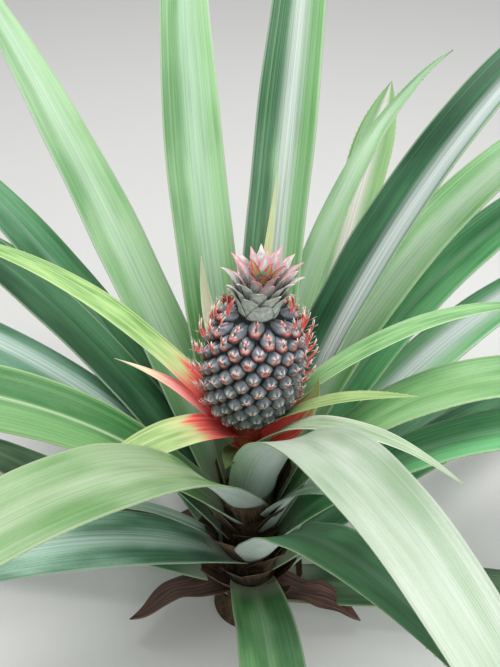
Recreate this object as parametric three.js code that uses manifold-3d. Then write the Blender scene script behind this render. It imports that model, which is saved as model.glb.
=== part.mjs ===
// Pineapple plant: a rosette of strap leaves round a short stem, with leafy bracts, one fruit and its crown.
// Millimetres and degrees, +Z up. The origin is the middle of the stem's flat cut at ground level,
// and a turn of 0 points along +X, 90 along +Y.
import * as THREE from "three";
import { mergeVertices } from "three/addons/utils/BufferGeometryUtils.js";
import Module from "manifold-3d";

const wasm = await Module();
wasm.setup();

// Driving dimensions
const GOLDEN_ANGLE = 137.508;
const CLEARANCE = 0.3;

const STEM = {
  top: 205, flare: 38, flareHeight: 30, waist: 26, belly: 28, bellyHeight: 110, tip: 15, sides: 24,
};
const STEM_RINGS = [0, 6, 14, 22, 30, 70, 110, 135, 160, 185, STEM.top];
const STALK = { top: 268.7, foot: 13, head: 14, sway: -3, sides: 20 };
const FRUIT = {
  base: 269, top: 384, radius: 41, seat: 15, crownSeat: 15, fullness: 2.3, lean: 5, sides: 28, rings: 14,
};
const EYES = { count: 180, sides: 4, radius: 6.6, rise: 5, sunk: 1.2, lean: 8, leanGain: 24, firstTurn: 20 };
const EYES_SPAN = { lowest: 0.03, highest: 0.965 }; // of the fruit's height
const AREA_STEPS = 200;
const CROWN = {
  base: 384.3, radius: 17, height: 37, leaves: 32, sides: 12, belly: 1.1, bellyHeight: 0.45, heart: 0.5,
};
const CROWN_LEAF = {
  length: 22, lengthGain: 15, longest: 1.1, width: 24, heartWidth: 9, thickness: 2, tip: 0.6,
  foot: 0.9, heartFoot: 0.25, highest: 0.8, taperPower: 1.6, pitch: 70, spread: 44, cup: 0.35, margin: 0.5,
};

// A leaf's shape along its length, as shares of its width, length or thickness.
const LEAF = {
  firstFoot: 14, lastFoot: 186, width: 54, bend: 1.5, gutter: 0.12, stations: 12, bractStations: 8, columns: 2,
};
const OUTLINE = { foot: 0.5, footEnds: 0.25, taperStarts: 0.4, taperPower: 1.7, tip: 0.04 };
const BLUNT = { taperStarts: 0.8, taperPower: 2.2 };
const THICKNESS = { share: 0.01, least: 1.6, foot: 0.7, footGain: 2, tip: 0.35, tipGain: 1.3, margin: 0.35 };
const ROLL_ENDS = 0.5;

const COLOURS = {
  stem: "#8a7f5c",
  stalk: "#9a9a62",
  fruit: "#6c7478",
  crown: "#7d8a76",
  leaf: "#5d7a44",
  bract: "#8c8f58",
};

// The strap leaves, the oldest and lowest first. Each turns to its own side, rises from the stem,
// arches down by its droop, swings by its sweep and rolls about its midrib.
const LEAVES = [
  { turn: 62, rise: 8, droop: 14, length: 460 },
  { turn: 150, rise: 8, droop: 16, length: 480 },
  { turn: -8, rise: 10, droop: 18, length: 500 },
  { turn: 108, rise: 12, droop: 16, length: 460 },
  { turn: 40, rise: 16, droop: 24, length: 520 },
  { turn: 172, rise: 16, droop: 26, length: 520 },
  { turn: -83, rise: 38, droop: 60, sweep: -8, length: 520 },
  { turn: 70, rise: 34, droop: 0, length: 575, width: 50, outline: BLUNT },
  { turn: 16, rise: 38, droop: 54, length: 560 },
  { turn: 128, rise: 26, droop: 30, length: 520 },
  { turn: 24, rise: 62, droop: 90, sweep: 12, bend: 1.2, length: 620 },
  { turn: 96, rise: 26, droop: 36, length: 480 },
  { turn: -147, rise: 46, droop: 80, sweep: -12, length: 430, roll: -35 },
  { turn: -76, rise: 61, droop: 62, sweep: 13, length: 540 },
  { turn: 143, rise: 55, droop: 36, sweep: 8, length: 600 },
  { turn: -15, rise: 58, droop: 108, length: 620 },
  { turn: 170, rise: 59, droop: 78, bend: 1.2, length: 600 },
  { turn: 38, rise: 56, droop: 78, sweep: -20, length: 700 },
  { turn: 155, rise: 56, droop: 54, sweep: 8, length: 600, width: 48 },
  { turn: -14, rise: 71, droop: 155, sweep: 20, length: 560 },
  { turn: 134, rise: 59, droop: 35, sweep: -7, length: 660 },
  { turn: -160, rise: 58, droop: 90, sweep: -8, length: 620, roll: -40 },
  { turn: 40, rise: 61, droop: 80, sweep: -20, length: 700 },
  { turn: 68, rise: 73, droop: 72, sweep: -16, bend: 1, length: 540, width: 27 },
  { turn: -112, rise: 60, droop: 94, sweep: -20, length: 700, width: 58, roll: -18 },
  { turn: 117, rise: 69, droop: 24, sweep: -37, length: 700 },
  { turn: -76, rise: 72, droop: 134, sweep: 12, bend: 1.25, length: 720, width: 58 },
  { turn: 33, rise: 69, droop: 62, sweep: -6, length: 700 },
  { turn: 75, rise: 73, droop: 12, length: 700 },
];

// Slender leaves between the others, each with the height of its foot.
const SLENDER_LEAVES = [
  { turn: -163, foot: 98, rise: 54, droop: 90, length: 300, width: 14 },
  { turn: -48, foot: 150, rise: 63, droop: 110, length: 330, width: 26 },
];

// The leafy bracts on the fruit's stalk, the lowest first, each with the height of its foot.
const BRACTS = [
  { turn: -58, foot: 222, rise: 63, droop: 86, sweep: 25, length: 262, width: 24 },
  { turn: 84, foot: 222, rise: 68, droop: -8, length: 262, width: 13 },
  { turn: -106, foot: 232, rise: 44, droop: 40, length: 64, width: 26 },
  { turn: -13, foot: 239, rise: 22, droop: -76, bend: 1, length: 104, width: 30, roll: 60 },
  { turn: 175, foot: 243, rise: 50, droop: 34, length: 138, width: 18 },
  { turn: 5, foot: 247, rise: 54, droop: 76, sweep: 7, length: 300, width: 24 },
  { turn: -143, foot: 247, rise: 50, droop: 76, bend: 0.85, length: 188, width: 38 },
  { turn: 163, foot: 252, rise: 46, droop: 50, sweep: -2, length: 345, width: 27 },
  { turn: -40, foot: 252, rise: 54, droop: 46, sweep: 22, length: 175, width: 20 },
  { turn: 126, foot: 254, rise: 50, droop: -28, length: 158, width: 18 },
  { turn: 42, foot: 256, rise: 36, droop: -24, length: 56, width: 20 },
];

const rad = THREE.MathUtils.degToRad;
const lerp = THREE.MathUtils.lerp;

// How far the stem or the stalk reaches from its middle line at a height.
function stemRadius(z) {
  if (z > STEM.top) return THREE.MathUtils.mapLinear(z, STEM.top, STALK.top, STALK.foot, STALK.head);
  if (z < STEM.flareHeight) {
    const s = z / STEM.flareHeight;
    return STEM.waist + (STEM.flare - STEM.waist) * (1 - s) ** 2;
  }
  if (z < STEM.bellyHeight) {
    return THREE.MathUtils.mapLinear(z, STEM.flareHeight, STEM.bellyHeight, STEM.waist, STEM.belly);
  }
  const s = (z - STEM.bellyHeight) / (STEM.top - STEM.bellyHeight);
  return STEM.belly + (STEM.tip - STEM.belly) * s ** 2;
}

// The stalk sways a little to one side, and the fruit and its crown lean back to the other.
function swayed(geometry) {
  const place = geometry.attributes.position;
  for (let i = 0; i < place.count; i++) {
    const z = place.getZ(i);
    const share = THREE.MathUtils.clamp((z - STEM.top) / (STALK.top - STEM.top), 0, 1);
    const leant = Math.max(0, z - STALK.top) * Math.tan(rad(FRUIT.lean));
    place.setX(i, place.getX(i) + STALK.sway * share + leant);
  }
  return geometry;
}

// A body turned round the Z axis, from radius and height pairs that run upwards.
function turned(profile, sides) {
  const points = profile.map(([radius, height]) => new THREE.Vector2(radius, height));
  return new THREE.LatheGeometry(points, sides).rotateX(Math.PI / 2);
}

// How wide a leaf is along its length, as a share of its full width.
function widthAt(s, { taperStarts, taperPower } = OUTLINE) {
  const foot = lerp(OUTLINE.foot, 1, THREE.MathUtils.smoothstep(s, 0, OUTLINE.footEnds));
  const taper = Math.max(0, (s - taperStarts) / (1 - taperStarts)) ** taperPower;
  return Math.max(foot * (1 - taper), OUTLINE.tip);
}

// How thick a leaf is along its length, as a share of its full thickness.
function thicknessAt(s) {
  return Math.min(1, THICKNESS.foot + THICKNESS.footGain * s, THICKNESS.tip + THICKNESS.tipGain * (1 - s));
}

// The points of a leaf's midrib, each with its own directions along, across and up.
function midrib({ turn, rise, droop, length, sweep = 0, roll = 0, bend = LEAF.bend }, start, stations) {
  const here = start.clone();
  const along = new THREE.Vector3();
  const halfStep = length / stations / 2;
  const frames = [];
  for (let i = 0; i <= stations; i++) {
    const s = i / stations;
    const pitch = rad(rise - droop * s ** bend);
    const heading = rad(turn + sweep * s);
    if (i > 0) here.addScaledVector(along, halfStep);
    along.set(Math.cos(pitch) * Math.cos(heading), Math.cos(pitch) * Math.sin(heading), Math.sin(pitch));
    if (i > 0) here.addScaledVector(along, halfStep);
    const across = new THREE.Vector3(Math.sin(heading), -Math.cos(heading), 0);
    across.applyAxisAngle(along, rad(roll) * THREE.MathUtils.smoothstep(s, 0, ROLL_ENDS));
    const up = new THREE.Vector3().crossVectors(across, along);
    frames.push({ s, pitch, here: here.clone(), across, up });
  }
  return frames;
}

// How far from the middle line a leaf starts, so that its foot just clears the stem or the stalk.
function footReach(foot, rise, fold, thickness) {
  const half = thickness * THICKNESS.foot / 2;
  const margin = fold * OUTLINE.foot + half * THICKNESS.margin;
  const underside = foot - half * Math.cos(rad(rise));
  return stemRadius(underside) + Math.max(half, margin) * Math.sin(rad(rise)) + CLEARANCE;
}

// A leaf's blade: a box bent along the midrib and wrapped round the plant's middle like a sheath.
function bladeGeometry(leaf, stations) {
  const { turn, foot, rise, length, outline, width = LEAF.width } = leaf;
  const thickness = Math.max(length * THICKNESS.share, THICKNESS.least);
  const fold = LEAF.gutter * width / 2;
  const reach = footReach(foot, rise, fold, thickness);
  const start = new THREE.Vector3(reach * Math.cos(rad(turn)), reach * Math.sin(rad(turn)), foot);
  const frames = midrib(leaf, start, stations);
  const blade = new THREE.BoxGeometry(1, 1, 1, LEAF.columns, stations, 1);
  const place = blade.attributes.position;
  for (let i = 0; i < place.count; i++) {
    const { s, pitch, here, across, up } = frames[Math.round((place.getY(i) + 0.5) * stations)];
    const side = place.getX(i) * 2;
    const out = side * widthAt(s, outline) * width / 2;
    const girth = Math.max(Math.hypot(here.x, here.y), width / 2);
    const wrap = girth * (1 - Math.cos(out / girth)) * Math.sin(Math.max(pitch, 0));
    const layer = place.getZ(i) * thickness * thicknessAt(s) * lerp(1, THICKNESS.margin, Math.abs(side));
    const point = here.clone()
      .addScaledVector(across, girth * Math.sin(out / girth))
      .addScaledVector(up, wrap + fold * widthAt(s, outline) * side * side + layer);
    place.setXYZ(i, point.x, point.y, point.z);
  }
  return blade;
}

// Joining of closed geometries into one body.
function solidOf(geometry) {
  const bare = geometry.clone();
  bare.deleteAttribute("normal");
  bare.deleteAttribute("uv");
  const merged = mergeVertices(bare, 1e-4);
  return new wasm.Manifold(new wasm.Mesh({
    numProp: 3,
    vertProperties: merged.attributes.position.array,
    triVerts: new Uint32Array(merged.index.array),
  }));
}

function joined(geometries) {
  const parts = geometries.map(solidOf).reduce((sum, next) => sum.add(next)).decompose();
  const whole = parts.reduce((best, next) => (next.volume() > best.volume() ? next : best));
  const { vertProperties, triVerts } = whole.getMesh();
  const geometry = new THREE.BufferGeometry();
  geometry.setAttribute("position", new THREE.BufferAttribute(vertProperties, 3));
  geometry.setIndex(new THREE.BufferAttribute(triVerts, 1));
  geometry.computeVertexNormals();
  return geometry;
}

// The stem, from the flat cut at ground level through its flare and its belly to its tip.
function stemGeometry() {
  const rings = STEM_RINGS.map((z) => [stemRadius(z), z]);
  return turned([[0, 0], ...rings, [0, STEM.top]], STEM.sides);
}

function stalkGeometry() {
  const foot = STEM.top + CLEARANCE;
  return turned([[0, foot], [STALK.foot, foot], [STALK.head, STALK.top], [0, STALK.top]], STALK.sides);
}

// The fruit's surface under its eyes: radius at a share of the height, 0 at the base.
function fruitRadius(share) {
  const fromMiddle = Math.abs(share * 2 - 1);
  return FRUIT.radius * (1 - fromMiddle ** FRUIT.fullness) ** (1 / FRUIT.fullness);
}

// Heights of the eyes, so that each has the same share of the fruit's surface.
function eyeHeights() {
  const rise = (FRUIT.top - FRUIT.base) / AREA_STEPS;
  const area = [0];
  for (let i = 1; i <= AREA_STEPS; i++) {
    const below = fruitRadius((i - 1) / AREA_STEPS);
    const above = fruitRadius(i / AREA_STEPS);
    area.push(area[i - 1] + (below + above) * Math.hypot(rise, above - below));
  }
  const heights = [];
  for (let k = 0; k < EYES.count; k++) {
    const share = (k + 0.5) / EYES.count;
    heights.push(area.findIndex((a) => a >= share * area[AREA_STEPS]) / AREA_STEPS);
  }
  return heights;
}

// The fruit: a rounded body with the pointed eyes in their spiral, each leaning upwards.
function fruitGeometry() {
  const tall = FRUIT.top - FRUIT.base;
  const profile = [[0, FRUIT.base], [FRUIT.seat, FRUIT.base]];
  for (let i = 1; i < FRUIT.rings; i++) {
    profile.push([fruitRadius(i / FRUIT.rings), FRUIT.base + tall * i / FRUIT.rings]);
  }
  profile.push([FRUIT.crownSeat, FRUIT.top], [0, FRUIT.top]);
  const pieces = [turned(profile, FRUIT.sides)];
  eyeHeights().forEach((share, k) => {
    if (share < EYES_SPAN.lowest || share > EYES_SPAN.highest) return;
    pieces.push(eyeGeometry(share, k));
  });
  return joined(pieces);
}

// One eye: a low pyramid on the fruit's surface at a share of its height.
function eyeGeometry(share, k) {
  const tall = FRUIT.top - FRUIT.base;
  const step = 1 / AREA_STEPS;
  const slope = Math.atan2(fruitRadius(share - step) - fruitRadius(share + step), tall * step * 2);
  const eye = new THREE.ConeGeometry(EYES.radius, EYES.rise + EYES.sunk, EYES.sides);
  eye.translate(0, (EYES.rise - EYES.sunk) / 2, 0).rotateZ(-Math.PI / 2);
  eye.rotateY(-slope - rad(EYES.lean + EYES.leanGain * share));
  return eye.translate(fruitRadius(share), 0, FRUIT.base + tall * share)
    .rotateZ(rad(EYES.firstTurn - GOLDEN_ANGLE * k));
}

// The crown: short pointed leaves in a spiral on a core, scale-like below, spreading above, upright at the heart.
function crownGeometry() {
  const { base, radius, height, leaves, sides, belly, bellyHeight, heart } = CROWN;
  const pieces = [turned([
    [0, base], [radius, base], [radius * belly, base + height * bellyHeight],
    [radius * heart, base + height], [0, base + height],
  ], sides)];
  for (let k = 0; k < leaves; k++) pieces.push(crownLeaf(k, k / (leaves - 1)));
  return joined(pieces);
}

// One leaf of the crown; youth runs from 0 at the crown's foot to 1 at its heart.
function crownLeaf(k, youth) {
  const middleAge = Math.sin(Math.PI * Math.min(1, youth * CROWN_LEAF.longest));
  const length = CROWN_LEAF.length + CROWN_LEAF.lengthGain * middleAge;
  const width = lerp(CROWN_LEAF.width, CROWN_LEAF.heartWidth, youth);
  const footRadius = CROWN.radius * lerp(CROWN_LEAF.foot, CROWN_LEAF.heartFoot, youth ** 2);
  const foot = CROWN.base + CLEARANCE + CROWN.height * CROWN_LEAF.highest * youth;
  const pitch = rad(CROWN_LEAF.pitch - CROWN_LEAF.spread * youth * (1 - youth));
  const blade = new THREE.BoxGeometry(1, 1, 1, 2, 2, 1);
  const place = blade.attributes.position;
  for (let i = 0; i < place.count; i++) {
    const s = place.getY(i) + 0.5;
    const side = place.getX(i) * 2;
    const half = Math.max(width / 2 * (1 - s ** CROWN_LEAF.taperPower), CROWN_LEAF.tip);
    const layer = place.getZ(i) * CROWN_LEAF.thickness * lerp(1, CROWN_LEAF.margin, Math.abs(side));
    const hollow = CROWN_LEAF.cup * half * side * side + layer;
    place.setXYZ(
      i,
      footRadius + s * length * Math.cos(pitch) - hollow * Math.sin(pitch),
      -side * half,
      foot + s * length * Math.sin(pitch) + hollow * Math.cos(pitch),
    );
  }
  return blade.rotateZ(rad(GOLDEN_ANGLE * k));
}

function numbered(kind, i) {
  return kind + "_" + String(i + 1).padStart(2, "0");
}

function mesh(name, geometry, color, roughness) {
  const piece = new THREE.Mesh(geometry, new THREE.MeshStandardMaterial({ color, roughness, metalness: 0 }));
  piece.name = name;
  return piece;
}

const plant = new THREE.Group();
plant.add(mesh("stem", stemGeometry(), COLOURS.stem, 0.9));
LEAVES.forEach((leaf, i) => {
  const foot = lerp(LEAF.firstFoot, LEAF.lastFoot, i / (LEAVES.length - 1));
  plant.add(mesh(numbered("leaf", i), bladeGeometry({ foot, ...leaf }, LEAF.stations), COLOURS.leaf, 0.55));
});
SLENDER_LEAVES.forEach((leaf, i) => {
  plant.add(mesh(numbered("slender", i), bladeGeometry(leaf, LEAF.stations), COLOURS.leaf, 0.55));
});
plant.add(mesh("fruit_stalk", swayed(stalkGeometry()), COLOURS.stalk, 0.8));
plant.add(mesh("fruit", swayed(fruitGeometry()), COLOURS.fruit, 0.75));
plant.add(mesh("crown", swayed(crownGeometry()), COLOURS.crown, 0.75));
BRACTS.forEach((bract, i) => {
  const blade = swayed(bladeGeometry(bract, LEAF.bractStations));
  plant.add(mesh(numbered("bract", i), blade, COLOURS.bract, 0.6));
});

export default plant;
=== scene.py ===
import math
import random

import bmesh
import bpy
from mathutils import Matrix, Vector, noise


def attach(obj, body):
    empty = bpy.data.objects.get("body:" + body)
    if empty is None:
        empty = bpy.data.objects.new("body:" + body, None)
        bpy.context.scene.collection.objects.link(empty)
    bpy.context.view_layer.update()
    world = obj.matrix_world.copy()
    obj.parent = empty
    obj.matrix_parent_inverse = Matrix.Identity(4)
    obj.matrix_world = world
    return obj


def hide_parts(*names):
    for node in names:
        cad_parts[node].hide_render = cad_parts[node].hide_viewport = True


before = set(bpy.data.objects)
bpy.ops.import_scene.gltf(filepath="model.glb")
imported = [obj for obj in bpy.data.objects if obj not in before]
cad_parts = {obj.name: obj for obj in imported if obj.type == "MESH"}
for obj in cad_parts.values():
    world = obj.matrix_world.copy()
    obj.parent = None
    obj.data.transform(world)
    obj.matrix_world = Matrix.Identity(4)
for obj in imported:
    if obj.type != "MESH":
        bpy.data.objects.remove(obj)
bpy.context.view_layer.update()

# The view: the photograph looks down on the plant from just above the nearest leaf, at 38 degrees below the
# level, with the camera about a metre from the fruit.
VIEW_PLACE = (0.0, -0.640, 0.859)
VIEW_DOWN = 38.0
VIEW_LENS = 52.3
VIEW_NEAREST = 0.01


def placed(name, data):
    """A new object of some data, in the scene."""
    thing = bpy.data.objects.new(name, data)
    bpy.context.collection.objects.link(thing)
    return thing


view_lens = bpy.data.cameras.new("view")
view_lens.lens = VIEW_LENS
view_lens.clip_start = VIEW_NEAREST
view_camera = placed("view", view_lens)
view_camera.location = VIEW_PLACE
view_camera.rotation_euler = (math.radians(90.0 - VIEW_DOWN), 0.0, 0.0)
bpy.context.scene.camera = view_camera
bpy.context.scene.view_settings.view_transform = "Standard"


# The stem: a short thick stem of tough fibre, with a flare at the ground and a belly under the leaves.
# Each fallen leaf has left a raised band round it.
STEM_TOP = 0.205
STEM_FLARE = 0.038
STEM_FLARE_HEIGHT = 0.030
STEM_WAIST = 0.026
STEM_BELLY = 0.028
STEM_BELLY_HEIGHT = 0.110
STEM_TIP = 0.015
STALK_TOP = 0.2687
STALK_FOOT = 0.013
STALK_HEAD = 0.014
STALK_SWAY = -0.003
SCAR_STEP = 0.0065
SCAR_RELIEF = 0.0011
SCAR_TILT = 0.0016
BARK_GRAIN = 260.0
BARK_RELIEF = 0.0006
PLAIN_END = 0.001
STEM_RINGS = 102
STEM_RING_STEP = 0.002
STEM_SIDES = 96
STEM_COLOURS = ("#2a1f15", "#5c4930", "#7a6a48")


def lerp(low, high, share):
    """The value at a share of the way from low to high."""
    return low + (high - low) * share


def smooth_share(value, low, high):
    """How far a value lies between low and high, from 0 to 1, eased at both ends."""
    share = min(1.0, max(0.0, (value - low) / (high - low)))
    return share * share * (3.0 - 2.0 * share)


def stem_radius(height):
    """The radius of the stem at a height or, above its tip, of the fruit's stalk."""
    if height > STEM_TOP:
        return lerp(STALK_FOOT, STALK_HEAD, (height - STEM_TOP) / (STALK_TOP - STEM_TOP))
    if height < STEM_FLARE_HEIGHT:
        return STEM_WAIST + (STEM_FLARE - STEM_WAIST) * (1.0 - height / STEM_FLARE_HEIGHT) ** 2
    if height < STEM_BELLY_HEIGHT:
        share = (height - STEM_FLARE_HEIGHT) / (STEM_BELLY_HEIGHT - STEM_FLARE_HEIGHT)
        return lerp(STEM_WAIST, STEM_BELLY, share)
    share = (height - STEM_BELLY_HEIGHT) / (STEM_TOP - STEM_BELLY_HEIGHT)
    return STEM_BELLY + (STEM_TIP - STEM_BELLY) * share ** 2


def colour_of(code):
    """A colour's light in red, green and blue from its six-figure code."""
    parts = [int(code[i:i + 2], 16) / 255.0 for i in (1, 3, 5)]
    return tuple(c / 12.92 if c <= 0.04045 else ((c + 0.055) / 1.055) ** 2.4 for c in parts) + (1.0,)


def piece_from(shape, name, materials, slot, *nodes):
    """Makes a finished piece of a bmesh, in place, with smooth faces."""
    mesh = bpy.data.meshes.new(name)
    for face in shape.faces:
        face.smooth = True
    shape.to_mesh(mesh)
    shape.free()
    for material in materials:
        mesh.materials.append(material)
    piece = placed(name, mesh)
    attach(piece, "root")
    if nodes:
        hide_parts(*nodes)


def finish_of(name):
    """A new material, with its node tree."""
    material = bpy.data.materials.new(name)
    material.use_nodes = True
    return material, material.node_tree


def feed(tree, socket, value):
    """Gives a socket what another one puts out, or a number, or the colour of a code."""
    if isinstance(value, bpy.types.NodeSocket):
        tree.links.new(value, socket)
    else:
        socket.default_value = colour_of(value) if isinstance(value, str) else value


def node_of(tree, kind, **values):
    """A new node of a kind, with its inputs fed by their names."""
    node = tree.nodes.new("ShaderNode" + kind)
    for name, value in values.items():
        feed(tree, node.inputs[name.replace("_", " ")], value)
    return node


def reckoned(tree, operation, *values):
    """A sum worked out on values: its name, then what goes into it."""
    node = node_of(tree, "Math")
    node.operation = operation
    for socket, value in zip(node.inputs, values):
        feed(tree, socket, value)
    return node.outputs[0]


def times(tree, first, second):
    return reckoned(tree, "MULTIPLY", first, second)


def plus(tree, first, second):
    return reckoned(tree, "ADD", first, second)


def between(tree, value, low, high, start=0.0, end=1.0):
    """A smooth step from start to end as the value goes from low to high."""
    node = node_of(tree, "MapRange", Value=value, From_Min=low, From_Max=high, To_Min=start, To_Max=end)
    node.interpolation_type = "SMOOTHSTEP"
    return node.outputs[0]


def mixed(tree, share, first, second):
    """A colour that goes from the first to the second by a share."""
    node = node_of(tree, "Mix")
    node.data_type = "RGBA"
    for number, value in ((0, share), (6, first), (7, second)):
        feed(tree, node.inputs[number], value)
    return node.outputs[2]


def blend(tree, value, low, high, first, second, start=0.0, end=1.0):
    """A colour that goes from the first to the second as a value goes from low to high."""
    return mixed(tree, between(tree, value, low, high, start, end), first, second)


def grain(tree, place, scale, detail=3.0, roughness=0.55):
    """Noise on a place, stretched by a scale along each axis."""
    spot = node_of(tree, "Mapping", Vector=place, Scale=scale).outputs[0]
    return node_of(tree, "TexNoise", Vector=spot, Scale=1.0, Detail=detail, Roughness=roughness).outputs[0]


def object_place(tree):
    return node_of(tree, "TexCoord").outputs["Object"]


def surfaced(material, colour, patches, roughness, height, strength, distance):
    """Gives a material its colour, its relief, and a roughness that goes between two values by patches."""
    tree = material.node_tree
    shader = tree.nodes["Principled BSDF"]
    bump = node_of(tree, "Bump", Strength=strength, Distance=distance, Height=height)
    feed(tree, shader.inputs["Base Color"], colour)
    feed(tree, shader.inputs["Roughness"], between(tree, patches, 0.3, 0.7, *roughness))
    feed(tree, shader.inputs["Normal"], bump.outputs[0])
    return material


def fibre_finish(name, colours, roughness):
    """Dry tough fibre: dark in its grooves, lighter on its ridges, with upright threads."""
    material, tree = finish_of(name)
    place = object_place(tree)
    threads = grain(tree, place, (900.0, 900.0, 60.0), 4.0)
    patches = grain(tree, place, (60.0, 60.0, 45.0))
    dark, middle, light = colours
    ground = blend(tree, patches, 0.35, 0.65, dark, middle)
    shade = blend(tree, threads, 0.5, 0.75, ground, light)
    return surfaced(material, shade, patches, (roughness, roughness + 0.15), threads, 0.5, 0.0008)


def turned_shape(profile, steps, touching=1e-6):
    """A body spun round the Z axis from radius and height pairs."""
    shape = bmesh.new()
    verts = [shape.verts.new((radius, 0.0, height)) for radius, height in profile]
    edges = [shape.edges.new(pair) for pair in zip(verts, verts[1:])]
    bmesh.ops.spin(
        shape, geom=verts + edges, cent=(0, 0, 0), axis=(0, 0, 1), angle=math.tau, steps=steps,
        use_merge=True,
    )
    bmesh.ops.remove_doubles(shape, verts=shape.verts, dist=touching)
    bmesh.ops.recalc_face_normals(shape, faces=shape.faces)
    return shape


def stem_shape():
    heights = [i * STEM_RING_STEP for i in range(1, STEM_RINGS + 1)]
    profile = [(0.0, 0.0), (STEM_FLARE * 0.5, 0.0), (STEM_FLARE, 0.0)]
    profile += [(stem_radius(height), height) for height in heights]
    profile += [(STEM_TIP, STEM_TOP), (0.0, STEM_TOP)]
    shape = turned_shape(profile, STEM_SIDES)
    for vert in shape.verts:
        radius = math.hypot(vert.co.x, vert.co.y)
        height = vert.co.z
        if radius < STEM_TIP * 0.9 or height < PLAIN_END or height > STEM_TOP - PLAIN_END:
            continue
        angle = math.atan2(vert.co.y, vert.co.x)
        tilt = SCAR_TILT * math.sin(3.0 * angle + height * 500.0)
        band = ((height + tilt) / SCAR_STEP) % 1.0
        rough = noise.noise(vert.co * BARK_GRAIN) * BARK_RELIEF
        gain = SCAR_RELIEF * (band ** 3 - 0.6) + rough
        vert.co.x *= (radius + gain) / radius
        vert.co.y *= (radius + gain) / radius
    return shape


stem_fibre = fibre_finish("stem_fibre", STEM_COLOURS, 0.8)
piece_from(stem_shape(), "stem_bark", [stem_fibre], "stem", "stem")


# The strap leaves: thick gutter-shaped blades, waxy above and pale with bloom below, with a pale midrib and a
# thin light margin. Each grows from its own height on the stem, clasps it, and arches out by one rule.
LEAF_FIRST_FOOT = 0.014
LEAF_LAST_FOOT = 0.186
LEAF_WIDTH = 0.054
LEAF_BEND = 1.5
LEAF_GUTTER = 0.12
LEAF_STATIONS = 72
LEAF_COLUMNS = 12
LEAF_THICKNESS = 0.0052
LEAF_EDGE = 0.22
LEAF_SUNK = 0.004
LEAF_FOOT = 0.94
LEAF_TIP = 0.012
LEAF_TAPER = (0.4, 1.7)
LEAF_CLASP = 0.13
LEAF_CROWDING = 0.85
LEAF_RIPPLE = 0.05
RIPPLE_GRAIN = 11.0
LEAF_WAVE = 0.0018
WAVE_GRAIN = 16.0
# Teeth: from which share of the length, at every how many stations, and how tall.
LEAF_TEETH = (0.80, 1, 0.0022)
NO_TEETH = (2.0, 1, 0.0)
LAST_TOOTH = 0.98
TOOTH_BASE = 0.30
TOOTH_OUT = 0.35
# How thick the solid of a leaf is, as a share of its length and at least; its foot is placed by that.
SOLID_SHARE = 0.01
SOLID_LEAST = 0.0016
CLEARANCE = 0.0003
# The lowest leaf first, with angles in degrees: the side it turns to, how it rises from the stem, droops,
# sweeps round and rolls by its tip. A bend over 1 puts more of the droop towards the tip.
LEAVES = [
    dict(turn=62, rise=8, droop=14, length=0.46, finish="old"),
    dict(turn=150, rise=8, droop=16, length=0.48, finish="old"),
    dict(turn=-8, rise=10, droop=18, length=0.50, finish="old"),
    dict(turn=108, rise=12, droop=16, length=0.46, finish="old"),
    dict(turn=40, rise=16, droop=24, length=0.52, finish="dark"),
    dict(turn=172, rise=16, droop=26, length=0.52, finish="dark"),
    dict(turn=-83, rise=38, droop=60, sweep=-8, length=0.52, finish="mid"),
    dict(turn=70, rise=34, droop=0, length=0.575, width=0.05, taper=(0.8, 2.2), finish="rosy"),
    dict(turn=16, rise=38, droop=54, length=0.56, finish="dark"),
    dict(turn=128, rise=26, droop=30, length=0.52, finish="dark"),
    dict(turn=24, rise=62, droop=90, sweep=12, bend=1.2, length=0.62, finish="silver_band"),
    dict(turn=96, rise=26, droop=36, length=0.48, finish="dark"),
    dict(turn=-147, rise=46, droop=80, sweep=-12, length=0.43, roll=-35, finish="sheen"),
    dict(turn=-76, rise=61, droop=62, sweep=13, length=0.54, finish="dark"),
    dict(turn=143, rise=55, droop=36, sweep=8, length=0.60, finish="dark"),
    dict(turn=-15, rise=58, droop=108, length=0.62, finish="lush"),
    dict(turn=170, rise=59, droop=78, bend=1.2, length=0.60, finish="sheen_side"),
    dict(turn=38, rise=56, droop=78, sweep=-20, length=0.70, finish="lush"),
    dict(turn=155, rise=56, droop=54, sweep=8, length=0.60, width=0.048, finish="deep"),
    dict(turn=-14, rise=71, droop=155, sweep=20, length=0.56, finish="bright"),
    dict(turn=134, rise=59, droop=35, sweep=-7, length=0.66, finish="pale"),
    dict(turn=-160, rise=58, droop=90, sweep=-8, length=0.62, roll=-40, finish="lit_and_shaded_halves"),
    dict(turn=40, rise=61, droop=80, sweep=-20, length=0.70, finish="broad_pale"),
    dict(turn=68, rise=73, droop=72, sweep=-16, bend=1, length=0.54, width=0.027, finish="pale"),
    dict(turn=-112, rise=60, droop=94, sweep=-20, length=0.70, width=0.058, roll=-18, finish="bloom"),
    dict(turn=117, rise=69, droop=24, sweep=-37, length=0.70, finish="soft_stripe"),
    dict(turn=-76, rise=72, droop=134, sweep=12, bend=1.25, length=0.72, width=0.058, finish="glaucous"),
    dict(turn=33, rise=69, droop=62, sweep=-6, length=0.70, finish="silver_side"),
    dict(turn=75, rise=73, droop=12, length=0.70, finish="striped"),
]
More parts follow.
